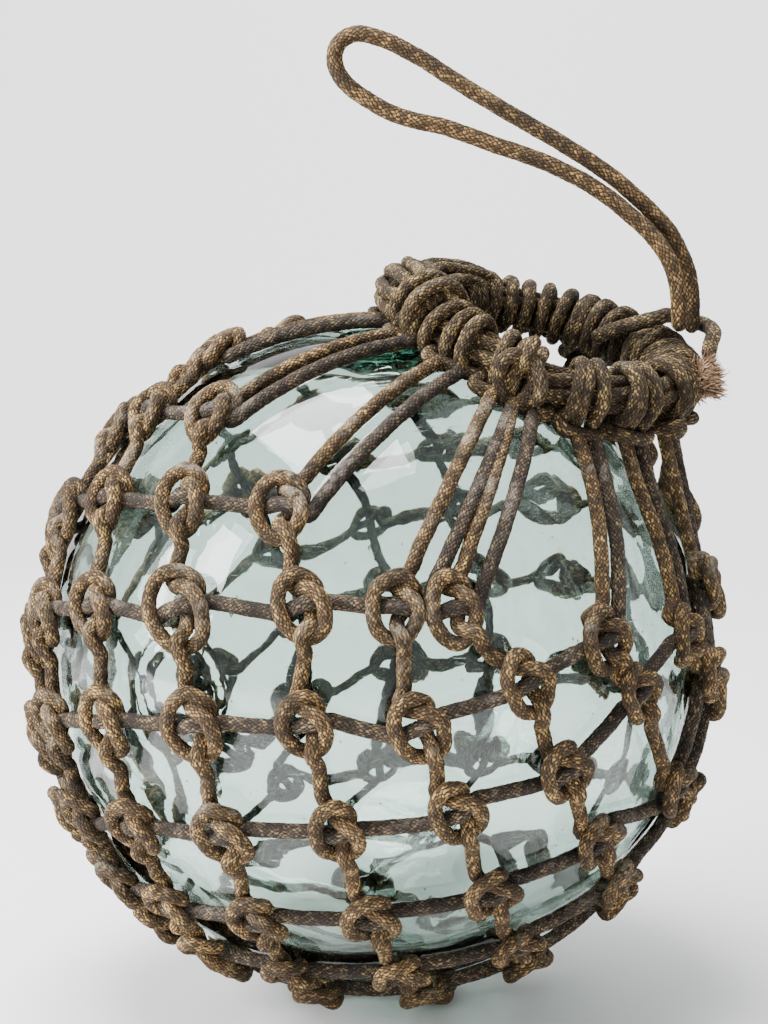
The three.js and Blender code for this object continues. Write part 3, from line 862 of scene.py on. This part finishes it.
def make_braid_group():
    """A round braid: two sets of strands wind opposite ways and pass over and under, so the
    surface is rows of small lozenges, each a pillow with the fibres of its own strand."""
    tree, given, out = new_group("braid", [
        ("Lay", "NodeSocketVector", None), ("Strands", "NodeSocketFloat", 12.0),
        ("Rows per metre", "NodeSocketFloat", 400.0)],
        [("Height", "NodeSocketFloat"), ("Crest", "NodeSocketFloat"),
         ("Strand tone", "NodeSocketFloat")])
    n = Nodes(tree)
    uv = n.add("ShaderNodeSeparateXYZ", {0: given["Lay"]})
    round_ = n.math("MULTIPLY", uv.outputs[0], given["Strands"])
    along = n.math("MULTIPLY", uv.outputs[1], given["Rows per metre"])
    first, second = n.math("ADD", round_, along), n.math("SUBTRACT", round_, along)
    over = n.math("ABSOLUTE", n.math("SINE", n.math("MULTIPLY", first, np.pi)))
    under = n.math("ABSOLUTE", n.math("SINE", n.math("MULTIPLY", second, np.pi)))
    pillow = n.math("POWER", n.math("MULTIPLY", over, under), 0.55)
    cells = n.math("FLOOR", first), n.math("FLOOR", second)
    total = n.math("ADD", *cells)
    where = n.add("ShaderNodeCombineXYZ", {
        0: n.math("SUBTRACT", *cells), 1: n.math("FLOORED_MODULO", total, n.math(
            "MULTIPLY", given["Strands"], 2.0))}).outputs[0]
    tone = n.add("ShaderNodeTexWhiteNoise", {"Vector": where}, noise_dimensions="3D")
    parity = n.math("FLOORED_MODULO", total, 2.0)
    lay_a = n.add("ShaderNodeCombineXYZ", {0: n.math("MULTIPLY", first, 1.2),
                                           1: n.math("MULTIPLY", second, 7.0)}).outputs[0]
    lay_b = n.add("ShaderNodeCombineXYZ", {0: n.math("MULTIPLY", first, 7.0),
                                           1: n.math("MULTIPLY", second, 1.2)}).outputs[0]
    fibre = n.add("ShaderNodeMix", {0: parity, 2: n.noise(lay_a, 1.0, 2.0),
                                    3: n.noise(lay_b, 1.0, 2.0)}, data_type="FLOAT").outputs[0]
    tree.links.new(n.math("MULTIPLY_ADD", fibre, 0.35, n.math("MULTIPLY", pillow, 0.8)),
                   out["Height"])
    tree.links.new(n.step(pillow, 0.22, 0.92), out["Crest"])
    tree.links.new(tone.outputs["Value"], out["Strand tone"])
    return tree


def make_weather_group():
    """What years outside leave on rope: broad shifts of tone, dark soaked stretches, worn
    patches, and pale dust that gathers on what faces up."""
    tree, given, out = new_group("weather", [
        ("Place", "NodeSocketVector", None), ("Dust", "NodeSocketFloat", 0.3)],
        [("Broad", "NodeSocketFloat"), ("Soaked", "NodeSocketFloat"),
         ("Worn", "NodeSocketFloat"), ("Dusty", "NodeSocketFloat"),
         ("Grit", "NodeSocketFloat")])
    n = Nodes(tree)
    broad = n.noise(given["Place"], 22.0, 3.0)
    fine = n.noise(given["Place"], 900.0, 3.0, 0.7)
    facing = n.add("ShaderNodeSeparateXYZ", {0: n.add(
        "ShaderNodeNewGeometry").outputs["Normal"]}).outputs[2]
    dust = n.step(n.noise(given["Place"], 34.0, 4.0, 0.6), 0.50, 0.66)
    dust = n.math("MULTIPLY", dust, n.step(facing, -0.5, 0.8))
    dust = n.math("MULTIPLY", dust, n.step(n.noise(given["Place"], 380.0, 3.0), 0.35, 0.6))
    tree.links.new(n.step(broad, 0.3, 0.7), out["Broad"])
    tree.links.new(n.step(n.noise(given["Place"], 75.0, 4.0, 0.65), 0.48, 0.62), out["Soaked"])
    tree.links.new(n.step(n.noise(given["Place"], 170.0, 4.0, 0.65), 0.36, 0.58), out["Worn"])
    tree.links.new(n.math("MULTIPLY", dust, given["Dust"]), out["Dusty"])
    tree.links.new(fine, out["Grit"])
    return tree


braid_group = make_braid_group()
weather_group = make_weather_group()


def rope_material(name, dark, middle, bright, pale, rows=400.0, dust=0.6, strands_round=12.0,
                  relief=0.0009):
    """Old tarred rope: dark between the strands as painted shade, brown on them, and straw-coloured
    on the crests where worn, which is partly wear and partly a painted highlight, with greyer dust.
    The point attribute tone makes whole ropes darker or lighter."""
    made = bpy.data.materials.new(name)
    made.use_nodes = True
    n = Nodes(made.node_tree)
    shader = made.node_tree.nodes["Principled BSDF"]
    place = n.add("ShaderNodeTexCoord").outputs["Object"]
    lay = n.add("ShaderNodeUVMap", uv_map="lay").outputs[0]
    stray = n.add("ShaderNodeTexNoise", {"Vector": place, "Scale": 420.0}).outputs["Color"]
    stray = n.add("ShaderNodeVectorMath", {0: stray, 1: (0.5, 0.5, 0.5)}, operation="SUBTRACT")
    stray = n.add("ShaderNodeVectorMath", {0: stray.outputs[0], 1: (0.09, 0.0032, 0.0)},
                  operation="MULTIPLY")
    lay = n.add("ShaderNodeVectorMath", {0: lay, 1: stray.outputs[0]}).outputs[0]
    braid = n.add("ShaderNodeGroup", node_tree=braid_group)
    made.node_tree.links.new(lay, braid.inputs["Lay"])
    braid.inputs["Strands"].default_value = strands_round
    braid.inputs["Rows per metre"].default_value = rows
    weather = n.add("ShaderNodeGroup", node_tree=weather_group)
    made.node_tree.links.new(place, weather.inputs["Place"])
    weather.inputs["Dust"].default_value = dust
    tone = n.add("ShaderNodeAttribute", attribute_name="tone").outputs["Fac"]
    crest, broad = braid.outputs["Crest"], weather.outputs["Broad"]
    light = n.math("ADD", n.math("MULTIPLY", tone, 0.7), n.math("MULTIPLY", broad, 0.45))
    own = n.math("MULTIPLY_ADD", braid.outputs["Strand tone"], 0.55, 0.45)
    # Painted shade: the grooves between the lozenges take the dark colour and the crests the brown
    # one.
    lit = n.math("MULTIPLY_ADD", n.math("MULTIPLY", crest, own), 0.8, 0.2)
    body = n.mix(n.math("MULTIPLY", lit, n.math("ADD", light, 0.4), clamp=True),
                 (*dark, 1), (*middle, 1))
    # Straw colour on the worn crests: partly real wear, partly a painted highlight on the lozenge
    # tops.
    bare_and_highlight = n.math("MULTIPLY", crest, n.math("MULTIPLY", weather.outputs["Worn"], n.math(
        "ADD", n.step(braid.outputs["Strand tone"], 0.30, 0.90), 0.12)))
    body = n.mix(n.math("MULTIPLY", bare_and_highlight, n.math("ADD", light, 0.35), clamp=True), body,
                 (*bright, 1))
    soaked = n.math("MULTIPLY", weather.outputs["Soaked"], 0.55)
    body = n.mix(soaked, body, (*dark, 1))
    grit = n.math("MULTIPLY", n.step(weather.outputs["Grit"], 0.56, 0.78), 0.35)
    body = n.mix(n.math("MULTIPLY", grit, crest), body, (*pale, 1))
    body = n.mix(weather.outputs["Dusty"], body, (*pale, 1))
    made.node_tree.links.new(body, shader.inputs["Base Color"])
    rough = n.math("MULTIPLY_ADD", weather.outputs["Grit"], 0.25, 0.68)
    made.node_tree.links.new(rough, shader.inputs["Roughness"])
    height = n.math("MULTIPLY_ADD", weather.outputs["Grit"], 0.3, braid.outputs["Height"])
    bump = n.add("ShaderNodeBump", {"Height": height, "Distance": relief})
    made.node_tree.links.new(bump.outputs[0], shader.inputs["Normal"])
    shader.inputs["Specular IOR Level"].default_value = 0.3
    return made


def fibre_material():
    """Shredded and loose fibres: straw to red-brown by each fibre's own tone."""
    made = bpy.data.materials.new("loose fibre")
    made.use_nodes = True
    n = Nodes(made.node_tree)
    shader = made.node_tree.nodes["Principled BSDF"]
    tone = n.add("ShaderNodeAttribute", attribute_name="tone").outputs["Fac"]
    place = n.add("ShaderNodeTexCoord").outputs["Object"]
    share = n.math("MULTIPLY", tone, n.step(n.noise(place, 160.0), 0.25, 0.75))
    made.node_tree.links.new(n.mix(share, (0.10, 0.055, 0.030, 1), (0.66, 0.44, 0.26, 1)),
                             shader.inputs["Base Color"])
    shader.inputs["Roughness"].default_value = 0.8
    return made


def glass_material(name, tint, roughness, ripple):
    """Old pale sea-green glass: see-through, with a rippled and scratched skin."""
    made = bpy.data.materials.new(name)
    made.use_nodes = True
    n = Nodes(made.node_tree)
    shader = made.node_tree.nodes["Principled BSDF"]
    shader.inputs["Base Color"].default_value = (*tint, 1)
    shader.inputs["Transmission Weight"].default_value = 1
    shader.inputs["IOR"].default_value = 1.5
    place = n.add("ShaderNodeTexCoord").outputs["Object"]
    stretched = n.add("ShaderNodeMapping", {"Vector": place, "Scale": (1, 1, 7),
                                            "Rotation": (0.5, 0.7, 0)}).outputs[0]
    scratch = n.step(n.noise(stretched, 90.0, 4.0, 0.75), 0.60, 0.72)
    haze = n.math("MULTIPLY_ADD", scratch, 0.22, roughness)
    made.node_tree.links.new(haze, shader.inputs["Roughness"])
    height = n.math("ADD", n.math("MULTIPLY", n.noise(place, 26.0, 2.0), 1.0),
                    n.math("MULTIPLY", n.noise(place, 120.0, 2.0), 0.06))
    bump = n.add("ShaderNodeBump", {"Height": height, "Distance": ripple})
    made.node_tree.links.new(bump.outputs[0], shader.inputs["Normal"])
    return made


# In each rope colour set, the dark colour is painted shade in the grooves, and the bright one is
# wear together with a painted highlight on the crests.
net_material = rope_material("net rope", (0.012, 0.008, 0.005), (0.105, 0.058, 0.023),
                             (0.58, 0.36, 0.135), (0.48, 0.41, 0.31), rows=420.0, dust=0.5)
row_material = rope_material("row rope", (0.011, 0.008, 0.0065), (0.055, 0.036, 0.024),
                             (0.30, 0.21, 0.115), (0.36, 0.31, 0.26), rows=420.0, dust=0.4)
collar_material = rope_material("collar rope", (0.008, 0.0055, 0.0035), (0.066, 0.038, 0.016),
                                (0.46, 0.31, 0.125), (0.42, 0.34, 0.23), dust=0.4)
handle_material = rope_material("handle rope", (0.012, 0.008, 0.004), (0.092, 0.050, 0.019),
                                (0.42, 0.25, 0.09), (0.38, 0.26, 0.13), rows=330.0,
                                dust=0.35, relief=0.0011)
for rope_piece in net_pieces[:3]:
    rope_piece.data.materials.append(net_material)
net_pieces[3].data.materials.append(row_material)
for rope_piece in collar_pieces:
    rope_piece.data.materials.append(collar_material)
handle.data.materials.append(handle_material)
tuft.data.materials.append(fibre_material())
glass.data.materials.append(glass_material("float glass", (0.64, 0.75, 0.705), 0.015, 0.00035))
seal.data.materials.append(glass_material("seal glass", (0.16, 0.50, 0.36), 0.12, 0.0009))
seeds.data.materials.append(glass_material("seed glass", (0.75, 0.83, 0.80), 0.05, 0.0001))


# ---- Floor, backdrop and light ----------------------------------------------------------
def make_stage():
    """A pale floor that sweeps up behind the float into a backdrop: a straight run, a
    quarter circle and an upright, carried sideways."""
    bend = np.radians(np.linspace(0, 90, 25))
    radius, back, high = 0.9, 1.6, 3.2
    y = np.concatenate([[-2.5], back + radius * np.sin(bend), [back + radius]])
    z = np.concatenate([[0], radius * (1 - np.cos(bend)), [high]])
    x = np.array([-4.0, 4.0])
    points = np.array([(a, b, c) for a in x for b, c in zip(y, z)])
    n = len(y)
    faces = [(i, i + n, i + n + 1, i + 1) for i in range(n - 1)]
    data = bpy.data.meshes.new("sweep")
    data.from_pydata(points.tolist(), [], faces)
    data.shade_smooth()
    made = new_object("studio_sweep", data)
    paper = bpy.data.materials.new("studio paper")
    paper.use_nodes = True
    shader = paper.node_tree.nodes["Principled BSDF"]
    shader.inputs["Base Color"].default_value = (0.88, 0.88, 0.88, 1)
    shader.inputs["Roughness"].default_value = 0.9
    made.data.materials.append(paper)


def make_light(name, at, size, power, aim=(0, 0, 0.16)):
    """An oblong soft light at a place, its face turned to its aim."""
    data = bpy.data.lights.new(name, "AREA")
    data.shape = "RECTANGLE"
    data.size, data.size_y = size
    data.energy = power
    made = new_object(name, data)
    made.location = at
    way = unit(np.array(aim) - np.array(at))
    yaw = np.arctan2(way[0], -way[1])
    made.rotation_euler = (np.arccos(-way[2]), 0, yaw + np.pi)


make_stage()
make_light("window_left", (-1.5, -0.55, 0.8), (0.8, 1.1), 82)
make_light("backdrop_light", (0.3, 1.2, 2.2), (2.0, 0.6), 60, aim=(0, 2.4, 0.6))
make_light("overhead", (-0.3, -0.1, 1.8), (1.2, 0.9), 66)
world = bpy.data.worlds.new("studio")
bpy.context.scene.world = world
world.use_nodes = True
sky = world.node_tree.nodes["Background"]
sky.inputs["Color"].default_value = (0.9, 0.92, 0.94, 1)
sky.inputs["Strength"].default_value = 0.62
